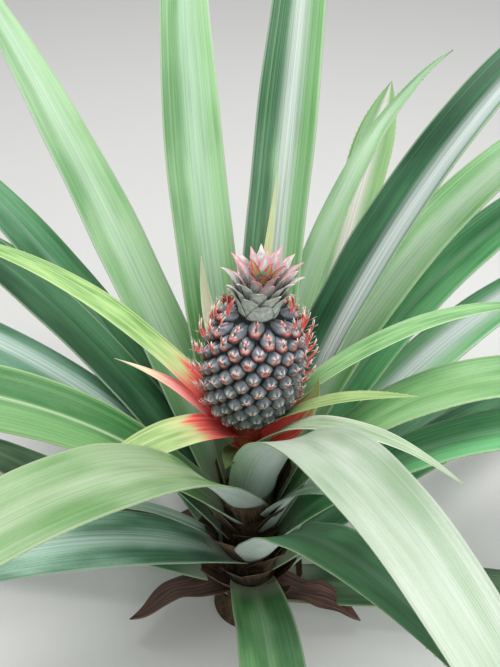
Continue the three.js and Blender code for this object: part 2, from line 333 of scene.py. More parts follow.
# For each finish: the dark and the light green, the midrib stripe, the margin, and the bloom's colour. Then
# the stripe's half width, its strength, how much bloom lies over the blade, how far the stripe lies from the
# middle, and how much lighter one half of the blade is painted than the other, as painted light and shade.
LEAF_FINISHES = {
    "old": ("#2a4a2c", "#4c7442", "#7c9c70", "#86a070", "#85a08c", 0.1, 0.35, 0.25, 0.0, 0.1),
    "dark": ("#20552c", "#438449", "#86ab92", "#8fb086", "#84ae98", 0.12, 0.45, 0.35, 0.0, 0.15),
    "deep": ("#1b482a", "#326c3d", "#6f9f78", "#a9c6a2", "#769f83", 0.1, 0.3, 0.3, 0.0, 0.15),
    "mid": ("#396f3c", "#629c56", "#a5c69c", "#aecb9a", "#9bbf9e", 0.13, 0.45, 0.35, 0.0, 0.15),
    "bright": ("#468742", "#78ae64", "#acce94", "#bcd69a", "#bcd6b2", 0.12, 0.45, 0.45, 0.0, 0.1),
    "striped": ("#26603a", "#80b870", "#e2ebe6", "#cfe2c2", "#b0d0b8", 0.27, 0.9, 0.28, 0.08, 0.3),
    "soft_stripe": ("#508848", "#96c688", "#b8d4bc", "#d6e6c8", "#b4d0b4", 0.34, 0.7, 0.35, 0.1, 0.16),
    "silver_band": ("#5aa868", "#98d096", "#f4f6fa", "#cfe6c8", "#c8e2d0", 0.4, 0.9, 0.2, -0.05, 0.1),
    "broad_pale": ("#5c9c52", "#9ccc8e", "#cfe2ca", "#c8dcae", "#c2dab8", 0.36, 0.7, 0.45, 0.1, 0.1),
    "lush": ("#2c8244", "#70c07a", "#b4dcb6", "#b9d9ac", "#9ccca4", 0.13, 0.45, 0.3, 0.0, 0.15),
    "silver_side": ("#143f26", "#2e6c3c", "#cdd6d3", "#b2cfaa", "#86ac98", 0.34, 0.95, 0.14, 0.5, 0.1),
    "rosy": ("#4c8240", "#76a658", "#d3c6c3", "#b4cc88", "#a9c2a2", 0.27, 0.9, 0.25, 0.0, 0.1),
    "pale": ("#5f925a", "#8cb87c", "#bcd2ba", "#c6d9bd", "#b4caae", 0.34, 0.6, 0.5, 0.0, 0.1),
    # painted light and shade: this finish makes one half of the blade much lighter than the other
    "lit_and_shaded_halves": ("#33743a", "#78aa6a", "#cbe2b6", "#bcd69a", "#a8c89c", 0.05, 0.8, 0.25, 0.06, -0.6),
    "sheen_side": ("#235a38", "#468358", "#d3e4dd", "#b8d0bc", "#a9cabb", 0.32, 0.8, 0.4, 0.22, 0.1),
    "sheen": ("#2a603e", "#5c9470", "#c0d8ca", "#a9c2aa", "#b4cfbe", 0.24, 0.7, 0.65, 0.0, 0.1),
    "bloom": ("#5d8a4c", "#86aa72", "#bccbac", "#c2d0a8", "#b6c6aa", 0.28, 0.5, 0.6, 0.0, 0.1),
    "glaucous": ("#7f9c76", "#a2b699", "#c6d0c2", "#d0d8c8", "#c6cec2", 0.3, 0.4, 0.85, 0.0, 0.1),
}
LEAF_FOOT_COLOUR = "#cbd8bd"
UNDER_COLOURS = ("#bccdc4", "#d4e0da", "#e8f0ec")


def leaf_width(share, taper):
    """How wide a leaf is along its length: wide where it clasps the stem, then tapering to its tip."""
    foot = lerp(LEAF_FOOT, 1.0, smooth_share(share, 0.0, 0.2))
    starts, power = taper
    narrowed = max(0.0, (share - starts) / (1.0 - starts)) ** power
    return max(foot * (1.0 - narrowed), LEAF_TIP)


def leaf_thickness(share):
    """How thick a leaf is along its length, thinner at its foot and at its tip."""
    return min(1.0, 0.7 + 2.0 * share, 0.25 + 1.3 * (1.0 - share))


def midrib(leaf, start, stations):
    """The points of a leaf's midrib, each with its share of the length, pitch, and ways across and up."""
    here = Vector(start)
    along = Vector((0.0, 0.0, 0.0))
    half_step = leaf["length"] / stations / 2.0
    frames = []
    for i in range(stations + 1):
        share = i / stations
        pitch = math.radians(leaf["rise"] - leaf["droop"] * share ** leaf.get("bend", LEAF_BEND))
        heading = math.radians(leaf["turn"] + leaf.get("sweep", 0.0) * share)
        if i:
            here = here + along * half_step
        along = Vector((
            math.cos(pitch) * math.cos(heading), math.cos(pitch) * math.sin(heading), math.sin(pitch),
        ))
        if i:
            here = here + along * half_step
        roll = math.radians(leaf.get("roll", 0.0)) * smooth_share(share, 0.0, 0.5)
        across = Vector((math.sin(heading), -math.cos(heading), 0.0))
        across.rotate(Matrix.Rotation(roll, 3, along))
        frames.append((share, pitch, here, across, across.cross(along)))
    return frames


def foot_reach(foot, rise, fold, thickness):
    """How far from the middle line a leaf starts: where its foot just clears the stem or the stalk."""
    half = thickness * 0.7 / 2.0
    margin = fold * 0.5 + half * 0.35
    underside = foot - half * math.cos(math.radians(rise))
    return stem_radius(underside) + max(half, margin) * math.sin(math.radians(rise)) + CLEARANCE


def sheet_box(columns, stations):
    """A closed unit box, cut across into stations and lengthwise into columns, with its faces sorted into
    upper, under and rim by their material number."""
    shape = bmesh.new()
    bmesh.ops.create_cube(shape, size=1.0)
    lengthwise = [e for e in shape.edges if abs(e.verts[0].co.y - e.verts[1].co.y) > 0.5]
    bmesh.ops.subdivide_edges(shape, edges=lengthwise, cuts=stations - 1, use_grid_fill=True)
    crosswise = [e for e in shape.edges if abs(e.verts[0].co.x - e.verts[1].co.x) > 0.5]
    bmesh.ops.subdivide_edges(shape, edges=crosswise, cuts=columns - 1, use_grid_fill=True)
    for face in shape.faces:
        heights = [v.co.z for v in face.verts]
        face.material_index = 0 if min(heights) > 0.4 else 1 if max(heights) < -0.4 else 2
    return shape


def add_point(shape, sides, radius, height, spot, aim):
    """Adds a small sharp point of the rim's material at a spot, aimed outwards, and returns its verts."""
    verts = bmesh.ops.create_cone(
        shape, cap_ends=True, segments=sides, radius1=radius, radius2=0.0, depth=height,
    )["verts"]
    turn = aim.to_track_quat("Z", "Y").to_matrix().to_4x4()
    bmesh.ops.transform(shape, matrix=Matrix.Translation(spot) @ turn, verts=verts)
    for vert in verts:
        for face in vert.link_faces:
            face.material_index = 2
    return verts


def add_teeth(shape, place, margins, stations, teeth):
    """Small sharp teeth along both margins."""
    first, every, tall = teeth
    for (station, edge), (spot, aim) in margins.items():
        along = station / stations
        if along < first or along > LAST_TOOTH or (station + (edge > 0)) % every:
            continue
        for vert in add_point(shape, 4, tall * TOOTH_BASE, tall, spot + aim * tall * TOOTH_OUT, aim):
            vert[place] = (edge, 0.0, 0.9)


def blade_shape(
    leaf, seed, stations=LEAF_STATIONS, columns=LEAF_COLUMNS, thickness=LEAF_THICKNESS, sway=None,
):
    """A leaf's blade: a closed sheet bent along its midrib and wrapped round the plant's middle at its foot.
    It carries where each point lies on the blade: across from -1 to 1, metres along, and share of length."""
    width = leaf.get("width", LEAF_WIDTH)
    taper = leaf.get("taper", LEAF_TAPER)
    foot = leaf["foot"]
    turn = math.radians(leaf["turn"])
    fold = LEAF_GUTTER * width / 2.0
    solid = max(leaf["length"] * SOLID_SHARE, SOLID_LEAST)
    reach = foot_reach(foot, leaf["rise"], fold, solid) - LEAF_SUNK
    start = (reach * math.cos(turn), reach * math.sin(turn), foot)
    frames = midrib(leaf, start, stations)
    thickness = thickness * min(1.0, leaf["length"] / 0.5)
    shape = sheet_box(columns, stations)
    place = shape.verts.layers.float_vector.new("blade")
    margins = {}
    for vert in shape.verts:
        x, y, z = vert.co
        station = round((y + 0.5) * stations)
        share, pitch, here, across, up = frames[station]
        side = math.copysign(abs(2.0 * x) ** LEAF_CROWDING, x)
        edge = 1.0 if side > 0 else -1.0
        along = share * leaf["length"]
        ripple = noise.noise(Vector((along * RIPPLE_GRAIN, seed * 3.7, edge * 5.1)))
        half = leaf_width(share, taper) * width / 2.0
        half *= 1.0 + LEAF_RIPPLE * ripple * smooth_share(share, 0.05, 0.3)
        out = side * half
        girth = max(math.hypot(here.x, here.y), width / 2.0)
        curl = girth * (1.0 - math.cos(out / girth))
        wrap = curl * math.sin(max(pitch, 0.0))
        clasp = curl * math.cos(pitch) * (1.0 - smooth_share(share, 0.0, LEAF_CLASP))
        layer = z * thickness * leaf_thickness(share) * lerp(1.0, LEAF_EDGE, abs(side) ** 1.5)
        gutter = fold * leaf_width(share, taper) * abs(side) ** 1.3
        wave = noise.noise(Vector((along * WAVE_GRAIN, seed * 9.1, edge * 2.3)))
        lift = LEAF_WAVE * wave * side ** 2 * smooth_share(share, 0.08, 0.3)
        point = here + across * (girth * math.sin(out / girth)) + up * (wrap + gutter + layer + lift)
        point -= up.cross(across) * clasp
        vert.co = sway(point) if sway else point
        vert[place] = (side, along, share)
        if abs(side) > 0.99 and z > 0:
            margins[station, edge] = (vert.co.copy(), (across * edge * 0.7 + up.cross(across)).normalized())
    add_teeth(shape, place, margins, stations, leaf.get("teeth", LEAF_TEETH))
    bmesh.ops.recalc_face_normals(shape, faces=shape.faces)
    return shape


def carried(tree, name):
    """The three measures that a shape's points carry under a name, and all three as one."""
    node = node_of(tree, "Attribute")
    node.attribute_name = name
    whole = node.outputs["Vector"]
    return (*node_of(tree, "SeparateXYZ", Vector=whole).outputs[:3], whole)


def blade_place(tree):
    """Places on a blade: how far off its midrib, the share of its length, and all its measures as one."""
    across, _, share, place = carried(tree, "blade")
    return reckoned(tree, "ABSOLUTE", across), share, place


def leaf_finish(
    name, dark, light, stripe, margin, bloom, stripe_half, stripe_strength, bloom_share,
    stripe_middle=0.0, lit_side_gain=0.1,
):
    """The waxy upper side of a leaf."""
    material, tree = finish_of(name)
    across, _, share, place = carried(tree, "blade")
    veins = grain(tree, place, (13.0, 0.7, 0.5), 2.0, 0.7)
    threads = grain(tree, place, (44.0, 1.6, 1.5), 2.0, 0.6)
    broad = grain(tree, place, (1.2, 5.0, 4.0), 2.0)
    flecks = grain(tree, place, (26.0, 260.0, 3.0), 2.0)
    # painted light and shade: one half of the blade is made lighter and the other darker, on top of the broad
    # tone
    broad_and_lit_side = plus(tree, times(tree, across, lit_side_gain), broad)
    green = blend(tree, broad_and_lit_side, 0.32, 0.70, dark, light)
    green = blend(tree, veins, 0.50, 0.62, green, light, 0.0, 0.40)
    green = blend(tree, veins, 0.34, 0.46, green, dark, 0.32, 0.0)
    green = blend(tree, threads, 0.38, 0.54, green, dark, 0.38, 0.0)
    haze = between(tree, broad, 0.3, 0.75, 0.15 * bloom_share, 0.9 * bloom_share)
    haze = times(tree, haze, between(tree, threads, 0.3, 0.6, 0.65, 1.0))
    haze = times(tree, haze, between(tree, flecks, 0.35, 0.6, 0.8, 1.0))
    green = mixed(tree, haze, green, bloom)
    aside = reckoned(tree, "ABSOLUTE", plus(tree, across, -stripe_middle))
    off_rib = plus(tree, aside, times(tree, veins, 0.30))
    inner, outer = 0.10 + stripe_half * 0.35, 0.18 + stripe_half * 1.7
    rib = between(tree, off_rib, inner, outer, stripe_strength, 0.0)
    rib = times(tree, rib, between(tree, threads, 0.38, 0.58, 0.55, 1.0))
    green = mixed(tree, rib, green, stripe)
    rim = between(tree, reckoned(tree, "ABSOLUTE", across), 0.91, 0.97)
    green = mixed(tree, times(tree, rim, 0.55), green, margin)
    green = blend(tree, share, 0.0, 0.12, green, LEAF_FOOT_COLOUR, 0.8, 0.0)
    height = plus(tree, veins, times(tree, threads, 0.4))
    return surfaced(material, green, broad, (0.34, 0.50), height, 0.5, 0.0009)


def under_finish(name, colours):
    """The dull under side of a leaf, pale with fine scales."""
    material, tree = finish_of(name)
    place = carried(tree, "blade")[3]
    lines = grain(tree, place, (40.0, 2.0, 1.0), 4.0, 0.6)
    broad = grain(tree, place, (1.5, 8.0, 4.0))
    dark, middle, light = colours
    pale = blend(tree, broad, 0.32, 0.7, dark, middle)
    pale = blend(tree, lines, 0.45, 0.7, pale, light, 0.0, 0.7)
    return surfaced(material, pale, broad, (0.55, 0.7), lines, 0.4, 0.0010)


def plain_finish(name, first, second, roughness):
    """A plain colour with a slight change of tone and grain."""
    material, tree = finish_of(name)
    place = object_place(tree)
    tone = grain(tree, place, (400.0, 400.0, 400.0))
    fine = grain(tree, place, (2400.0, 2400.0, 2400.0), 2.0)
    colour = blend(tree, tone, 0.35, 0.65, first, second)
    return surfaced(material, colour, tone, (roughness, roughness + 0.12), fine, 0.3, 0.0004)


leaf_uppers = {name: leaf_finish("leaf_" + name, *look) for name, look in LEAF_FINISHES.items()}
leaf_under = under_finish("leaf_under", UNDER_COLOURS)
leaf_rim = plain_finish("leaf_rim", "#8fae80", "#b3c99f", 0.5)
for i, leaf in enumerate(LEAVES):
    leaf["foot"] = lerp(LEAF_FIRST_FOOT, LEAF_LAST_FOOT, i / (len(LEAVES) - 1))
    looks = [leaf_uppers[leaf["finish"]], leaf_under, leaf_rim]
    piece_from(blade_shape(leaf, seed=i), f"strap_leaf_{i + 1:02d}", looks, "leaf", f"leaf_{i + 1:02d}")


# The slender leaves: two narrow young side leaves that came up between the others and hang down in front.
# They grow by the same rule, thinner and paler.
SLENDER_LEAVES = [
    dict(turn=-163, foot=0.098, rise=54, droop=90, length=0.30, width=0.014),
    dict(turn=-48, foot=0.15, rise=63, droop=110, length=0.33, width=0.026),
]
SLENDER_FINISH = ("#7f9f88", "#a5bfa8", "#cfe0d0", "#dfe9da", "#c9dacb", 0.2, 0.5, 0.8)
slender_looks = [leaf_finish("slender_upper", *SLENDER_FINISH), leaf_under, leaf_rim]
for i, leaf in enumerate(SLENDER_LEAVES):
    shape = blade_shape(leaf, seed=40 + i, columns=8, thickness=0.004)
    piece_from(shape, f"slender_leaf_{i + 1:02d}", slender_looks, "leaf", f"slender_{i + 1:02d}")


# The withered leaves: the oldest leaves have dried brown and lie low round the foot, and short dead bases of
# leaves still clasp the stem between the lower ones.
WITHERED_LEAVES = [
    dict(turn=-150, foot=0.05, rise=14, droop=62, sweep=-24, roll=22, length=0.112, width=0.042),
    dict(turn=-30, foot=0.044, rise=10, droop=52, sweep=20, roll=-18, length=0.10, width=0.04),
    dict(turn=52, foot=0.052, rise=14, droop=58, sweep=-18, roll=14, length=0.118, width=0.04),
    dict(turn=128, foot=0.046, rise=12, droop=56, sweep=22, roll=-16, length=0.108, width=0.042),
]
WITHERED_TAPER = (0.55, 1.6)
CRUMPLE = 0.009
CRUMPLE_GRAIN = 24.0
OLD_BASES = 22
OLD_BASE_LOWEST = 0.006
OLD_BASE_HIGHEST = 0.150
OLD_BASE_LENGTH = 0.045
OLD_BASE_SPREAD = 0.018
OLD_BASE_TAPER = (0.8, 2.2)
GOLDEN_TURN = 137.508


def dry_finish(name, dark, middle, light):
    """A dead leaf: dry, dull and fibrous, darker between its threads and paler at its edges."""
    material, tree = finish_of(name)
    off_rib, _, place = blade_place(tree)
    threads = grain(tree, place, (18.0, 5.0, 1.0), 4.0, 0.65)
    patches = grain(tree, place, (1.5, 22.0, 3.0))
    brown = blend(tree, patches, 0.35, 0.65, dark, middle)
    brown = blend(tree, threads, 0.45, 0.68, brown, light, 0.0, 0.7)
    brown = blend(tree, off_rib, 0.8, 1.0, brown, light, 0.0, 0.5)
    return surfaced(material, brown, patches, (0.62, 0.8), threads, 0.6, 0.0012)


def add_copies(whole, shape, matrices):
    """Adds a placed copy of a small shape to a whole for each matrix."""
    pattern = bpy.data.meshes.new("pattern")
    shape.to_mesh(pattern)
    for matrix in matrices:
        before = len(whole.verts)
        whole.from_mesh(pattern)
        whole.verts.ensure_lookup_table()
        bmesh.ops.transform(whole, matrix=matrix, verts=whole.verts[before:])
    bpy.data.meshes.remove(pattern)


withered = bmesh.new()
withered.verts.layers.float_vector.new("blade")
for i, leaf in enumerate(WITHERED_LEAVES):
    leaf.update(taper=WITHERED_TAPER, teeth=NO_TEETH)
    shape = blade_shape(leaf, seed=80 + i, stations=48, columns=10, thickness=0.003)
    place = shape.verts.layers.float_vector["blade"]
    for vert in shape.verts:
        side, along, share = vert[place]
        grip = CRUMPLE * smooth_share(share, 0.1, 0.5)
        spot = vert.co * CRUMPLE_GRAIN + Vector((0.0, 0.0, i))
        fold = Vector([noise.noise(spot + Vector((way * 31.4, 0.0, 0.0))) for way in range(3)])
        crease = 0.5 * noise.noise(Vector((side * 2.2, along * 26.0, i * 3.0)))
        vert.co += fold * grip + Vector((0.0, 0.0, crease * grip))
    add_copies(withered, shape, [Matrix()])
    shape.free()
withered_looks = [
    dry_finish("withered_upper", "#2c1b18", "#573a30", "#8a6856"),
    dry_finish("withered_under", "#3f2a24", "#6e5142", "#9a7f6c"),
    dry_finish("withered_rim", "#4a332a", "#7a5c4a", "#a58b76"),
]
piece_from(withered, "withered_leaves", withered_looks, "leaf")
old_bases = bmesh.new()
old_bases.verts.layers.float_vector.new("blade")
for i in range(OLD_BASES):
    share = i / (OLD_BASES - 1)
    length = OLD_BASE_LENGTH + OLD_BASE_SPREAD * ((i * 7) % 5) / 4.0
    leaf = dict(
        turn=GOLDEN_TURN * i + 20.0, foot=lerp(OLD_BASE_LOWEST, OLD_BASE_HIGHEST, share),
        rise=58 + 16 * share, droop=10, length=length, width=0.050, taper=OLD_BASE_TAPER, teeth=NO_TEETH,
    )
    shape = blade_shape(leaf, seed=120 + i, stations=10, columns=8, thickness=0.012)
    add_copies(old_bases, shape, [Matrix()])
    shape.free()
base_looks = [dry_finish("old_base", "#2c1d14", "#5a4230", "#8a7154")] * 3
piece_from(old_bases, "old_leaf_bases", base_looks, "leaf")


# The fruit's stalk: a firm ribbed stalk that stands on the stem's tip and sways a little to one side. The
# fruit and its crown lean the other way.
FRUIT_LEAN = math.radians(5.0)
STALK_RIBS = 12
STALK_RIB = 0.035
STALK_RINGS = 24
STALK_SIDES = 60
STALK_COLOURS = ("#9a4434", "#b8744e", "#d8685a")


def swayed(point):
    """Where a point of the stalk, its bracts, the fruit or the crown comes to lie in the leaning plant."""
    share = min(1.0, max(0.0, (point.z - STEM_TOP) / (STALK_TOP - STEM_TOP)))
    leant = max(0.0, point.z - STALK_TOP) * math.tan(FRUIT_LEAN)
    return Vector((point.x + STALK_SWAY * share + leant, point.y, point.z))


def sway_all(shape):
    for vert in shape.verts:
        vert.co = swayed(vert.co)
    return shape


def stalk_shape():
    shares = [i / STALK_RINGS for i in range(STALK_RINGS + 1)]
    rings = [(lerp(STALK_FOOT, STALK_HEAD, share), lerp(STEM_TOP, STALK_TOP, share)) for share in shares]
    shape = turned_shape([(0.0, STEM_TOP), *rings, (0.0, STALK_TOP)], STALK_SIDES)
    for vert in shape.verts:
        angle = math.atan2(vert.co.y, vert.co.x)
        radius = math.hypot(vert.co.x, vert.co.y)
        if radius > 0.005:
            gain = 1.0 + STALK_RIB * math.cos(STALK_RIBS * angle)
            vert.co.x *= gain
            vert.co.y *= gain
    return sway_all(shape)


stalk_fibre = fibre_finish("stalk_fibre", STALK_COLOURS, 0.6)
piece_from(stalk_shape(), "stalk_body", [stalk_fibre], "stalk", "fruit_stalk")


# The bracts: narrow leaves on the fruit's stalk, coral-red where they leave it and yellow-green beyond. Some
# have a row of small teeth towards the tip.
BRACTS = [
    dict(turn=-58, foot=0.222, rise=63, droop=86, sweep=25, length=0.262, width=0.024, finish="grey"),
    dict(turn=84, foot=0.222, rise=68, droop=-8, length=0.262, width=0.011, finish="young"),
    dict(turn=-106, foot=0.232, rise=44, droop=40, length=0.064, width=0.026, finish="shaded"),
    dict(
        turn=-13, foot=0.239, rise=22, droop=-76, bend=1, roll=34, length=0.104, width=0.03, finish="sunlit",
    ),
    dict(turn=175, foot=0.243, rise=50, droop=34, length=0.138, width=0.03, roll=-18, finish="rose"),
    dict(turn=3.5, foot=0.247, rise=54, droop=76, sweep=7, length=0.30, width=0.024, finish="soft"),
    dict(turn=-143, foot=0.247, rise=50, droop=76, bend=0.85, length=0.188, width=0.038, finish="lime"),
    dict(turn=163, foot=0.252, rise=46, droop=50, sweep=-2, length=0.345, width=0.027, finish="far"),
    dict(turn=-40, foot=0.252, rise=54, droop=46, sweep=22, length=0.175, width=0.02, finish="lime"),
    dict(turn=126, foot=0.254, rise=50, droop=-28, length=0.158, width=0.018, finish="cream"),
    dict(turn=42, foot=0.256, rise=36, droop=-24, length=0.056, width=0.02, finish="sunlit"),
]
# How far the red runs out along each, as a share of its length.
BRACT_REDS = (0.10, 0.66, 0.20, 0.72, 0.82, 0.16, 0.34, 0.24, 0.22, 0.20, 0.80)
BRACT_TEETH = (0.70, 3, 0.0018)
TOOTHED_FINISHES = ("lime", "soft", "far")
BRACT_CORALS = ("#dc2a30", "#f4504c", "#ff8a80")
ROSE_CORALS = ("#f2464e", "#ff8486", "#ffb2ac")
ROSE_TAPER = (0.0, 0.78)
BRACT_CREAM = "#e2e0a4"
# For each finish: the dark and the light green, the streaks and the margin.
BRACT_FINISHES = {
    "lime": ("#7a9e52", "#9dba76", "#c2cf9e", "#bacb90"),
    "far": ("#669648", "#a2c87a", "#cfe2ac", "#bcd492"),
    "soft": ("#5a9254", "#8cbc7a", "#b4d4a6", "#b4d2a2"),
    "young": ("#b6cc8a", "#d8e4b4", "#e6edcc", "#e2ebc6"),
    "shaded": ("#34482a", "#4c6038", "#62744a", "#62744a"),
    "sunlit": ("#b4e060", "#d8f098", "#e8f4bc", "#e8f4bc"),
    "grey": ("#86a07a", "#acbf9e", "#c9d4c0", "#dae2d0"),
    "rose": ("#f6bca6", "#fce0c8", "#fdecdc", "#fcf0e2"),
    "cream": ("#cddfae", "#e6ecc8", "#f4f5e2", "#f3f5e0"),
}


def bract_finish(name, dark, light, stripe, margin, red, corals):
    """A bract's surface: red runs out in fingers from its foot into the green, with cream between them."""
    material, tree = finish_of(name)
    off_rib, share, place = blade_place(tree)
    lines = grain(tree, place, (12.0, 3.0, 1.0), 3.0, 0.6)
    broad = grain(tree, place, (1.5, 14.0, 4.0))
    green = blend(tree, broad, 0.3, 0.7, dark, light)
    green = blend(tree, lines, 0.45, 0.7, green, stripe, 0.0, 0.7)
    green = blend(tree, off_rib, 0.82, 0.97, green, margin)
    tongues = grain(tree, place, (3.5, 10.0, 1.0), 2.0)
    ragged = plus(tree, times(tree, lines, 0.3), tongues)
    reach = plus(tree, share, times(tree, plus(tree, ragged, -0.65), 0.9 * red))
    deep, middle, pale = corals
    coral = blend(tree, lines, 0.34, 0.66, middle, pale)
    coral = blend(tree, share, 0.0, 0.5 * red, coral, deep, 0.45, 0.0)
    green = blend(tree, reach, red * 0.90, red * 1.45, green, BRACT_CREAM, 0.6, 0.0)
    green = blend(tree, reach, red * 0.70, red * 1.02, green, coral, 1.0, 0.0)
    return surfaced(material, green, broad, (0.38, 0.52), lines, 0.3, 0.0007)


for i, leaf in enumerate(BRACTS):
    finish = leaf["finish"]
    corals = ROSE_CORALS if finish == "rose" else BRACT_CORALS
    look = bract_finish(f"bract_look_{i + 1:02d}", *BRACT_FINISHES[finish], BRACT_REDS[i], corals)
    leaf["teeth"] = BRACT_TEETH if finish in TOOTHED_FINISHES else NO_TEETH
    leaf["taper"] = ROSE_TAPER if finish == "rose" else LEAF_TAPER
    shape = blade_shape(leaf, seed=60 + i, stations=64, columns=8, thickness=0.0034, sway=swayed)
    piece_from(shape, f"stalk_bract_{i + 1:02d}", [look, look, look], "bract", f"bract_{i + 1:02d}")


# The fruit: a young slate-grey fruit, built up of eyes in their spiral round a firm body. Each eye is a waxy
# hood of two lobes over a small pit with a pinkish lip below it; between the eyes the body is painted nearly
# black as the shade in the gaps.
FRUIT_BASE = 0.269
FRUIT_TOP = 0.384
FRUIT_RADIUS = 0.041
FRUIT_FULLNESS = 2.3
FRUIT_RINGS = 40
FRUIT_SIDES = 64
GAP_DEPTH = 0.0006
GOLDEN_ANGLE = math.radians(GOLDEN_TURN)
EYE_COUNT = 180
EYE_FIRST_TURN = math.radians(20.0)
EYE_RADIUS = 0.0075
EYE_RISE = 0.0050
EYE_LOWEST = 0.03
EYE_HIGHEST = 0.965
EYE_STEPS = 16
EYE_STRETCH = 0.85
EYE_CORNERS = 0.045
EYE_SEED = 11
EYE_RINGS = (1.0, 0.86, 0.64, 0.40, 0.20, 0.08)
EYE_EDGE_DROP = 0.0014
EYE_SLATE = ("#39424b", "#6d7881", "#929aa2")
# pale crest streaks near the pit, partly real and partly a painted highlight
EYE_CREST_HIGHLIGHT = ("#dedde0", "#e6cfcf")
EYE_LIP = ("#a06860", "#cfa89e", "#8e3832")
EYE_PIT = "#7c1f1e"
# painted shade: the near-black edge of each eye, where it dips into the gaps
EYE_GAP_SHADE = "#0e1215"


def fruit_radius(share):
    """The radius of the fruit's body at a share of its height."""
    off_middle = abs(share * 2.0 - 1.0) ** FRUIT_FULLNESS
    return FRUIT_RADIUS * max(0.0, 1.0 - off_middle) ** (1.0 / FRUIT_FULLNESS)


def eye_shares():
    """Heights of the eyes as shares of the fruit's, so that each has the same share of its surface."""
    steps = 200
    rise = (FRUIT_TOP - FRUIT_BASE) / steps
    area = [0.0]
    for i in range(1, steps + 1):
        below, above = fruit_radius((i - 1) / steps), fruit_radius(i / steps)
        area.append(area[-1] + (below + above) * math.hypot(rise, above - below))
    shares = []
    for k in range(EYE_COUNT):
        wanted = (k + 0.5) / EYE_COUNT * area[-1]
        shares.append(next(i for i, a in enumerate(area) if a >= wanted) / steps)
    return shares


def eye_matrix(share, k, size=(1.0, 1.0, 1.0), twist=0.0):
    """The place of one eye: X sideways, Y up the fruit, Z outwards."""
    tall = FRUIT_TOP - FRUIT_BASE
    step = 0.01
    slope = math.atan2(fruit_radius(share - step) - fruit_radius(share + step), tall * step * 2.0)
    up = slope + math.radians(6.0 + 24.0 * share)
    tilt = Matrix((
        (0.0, -math.sin(up), math.cos(up), fruit_radius(share)),
        (1.0, 0.0, 0.0, 0.0),
        (0.0, math.cos(up), math.sin(up), FRUIT_BASE + tall * share),
        (0.0, 0.0, 0.0, 1.0),
    ))
    turn = Matrix.Rotation(EYE_FIRST_TURN - GOLDEN_ANGLE * k, 4, "Z")
    return turn @ tilt @ Matrix.Rotation(twist, 4, "Z") @ Matrix.Diagonal((*size, 1.0))


def fruit_shape():
    shares = [i / FRUIT_RINGS for i in range(1, FRUIT_RINGS)]
    rings = [(fruit_radius(share) - GAP_DEPTH, lerp(FRUIT_BASE, FRUIT_TOP, share)) for share in shares]
    return sway_all(turned_shape([(0.0, FRUIT_BASE), *rings, (0.0, FRUIT_TOP)], FRUIT_SIDES))


def eye_shape():
    """One eye. It carries where each point lies on it, with the pit at 0, 0 and the edge at 1."""
    shape = turned_shape([(radius, 0.0) for radius in EYE_RINGS], EYE_STEPS, touching=1e-5)
    inner = [e for e in shape.edges if e.is_boundary and max(v.co.length for v in e.verts) < 0.2]
    bmesh.ops.contextual_create(shape, geom=inner)
    bmesh.ops.recalc_face_normals(shape, faces=shape.faces)
    if next(iter(shape.faces)).normal.z < 0:
        bmesh.ops.reverse_faces(shape, faces=shape.faces)
    place = shape.verts.layers.float_vector.new("eye")
    for vert in shape.verts:
        x, y = vert.co.xy
        radius = math.hypot(x, y)
        angle = math.atan2(y, x)
        upper = smooth_share(math.sin(angle), -0.45, 0.0)
        crease = math.exp(-((angle - math.pi / 2.0) / 0.34) ** 2) * upper
        hood = 1.0 - radius ** 2.6
        lip = 0.55 * (1.0 - radius ** 1.4)
        height = lerp(lip, hood * (1.0 - 0.32 * crease), upper)
        height -= 0.45 * max(0.0, 1.0 - radius / 0.22)
        corner = 1.0 + EYE_CORNERS * math.cos(6.0 * angle)
        vert[place] = (x, y, 0.0)
        vert.co = Vector((
            x * EYE_RADIUS * corner, (y * corner - 0.54 * (1.0 - radius)) * EYE_RADIUS,
            EYE_RISE * height - EYE_EDGE_DROP * radius ** 6,
        ))
    return shape


def eye_finish(name):
    """The eye's waxy skin: slate with a pale streaked crest above the pit, partly a painted highlight, a pink
    lip below, and painted shade at its edge.
    """
    material, tree = finish_of(name)
    x, y, tone, _ = carried(tree, "eye")
    radius = reckoned(tree, "SQRT", plus(tree, times(tree, x, x), times(tree, y, y)))
    angle = reckoned(tree, "ARCTAN2", y, x)
    spot = object_place(tree)
    fine = grain(tree, spot, (1500.0, 1500.0, 1500.0))
    cloud = grain(tree, spot, (260.0, 260.0, 260.0))
    ribs = reckoned(tree, "COSINE", times(tree, plus(tree, angle, -0.75), 3.8))
    ribs = plus(tree, ribs, times(tree, plus(tree, cloud, -0.5), 4.0))
    dark, middle, light = EYE_SLATE
    slate = blend(tree, cloud, 0.35, 0.65, dark, middle)
    slate = mixed(tree, times(tree, tone, 0.5), slate, light)
    near_pit = between(tree, radius, 0.14, 0.66, 1.0, 0.0)
    # pale streaks radiating above the pit, partly real and partly a painted highlight
    crest_highlight = times(tree, near_pit, between(tree, ribs, -0.5, 0.7, 0.12, 1.0))
    slate = mixed(tree, crest_highlight, slate, mixed(tree, tone, *EYE_CREST_HIGHLIGHT))
    dull, pink, red = EYE_LIP
    lip = blend(tree, cloud, 0.35, 0.65, dull, pink)
    lip = blend(tree, radius, 0.50, 0.80, lip, red)
    below = plus(tree, y, times(tree, reckoned(tree, "ABSOLUTE", x), 0.18))
    skin = blend(tree, below, -0.30, -0.12, slate, lip, 1.0, 0.0)
    skin = blend(tree, radius, 0.08, 0.17, skin, EYE_PIT, 0.9, 0.0)
    # painted shade: each eye darkens to near black towards its edge
    skin = blend(tree, radius, 0.70, 0.95, skin, EYE_GAP_SHADE)
    height = plus(tree, fine, times(tree, ribs, 0.35))
    return surfaced(material, skin, cloud, (0.40, 0.55), height, 0.5, 0.0003)


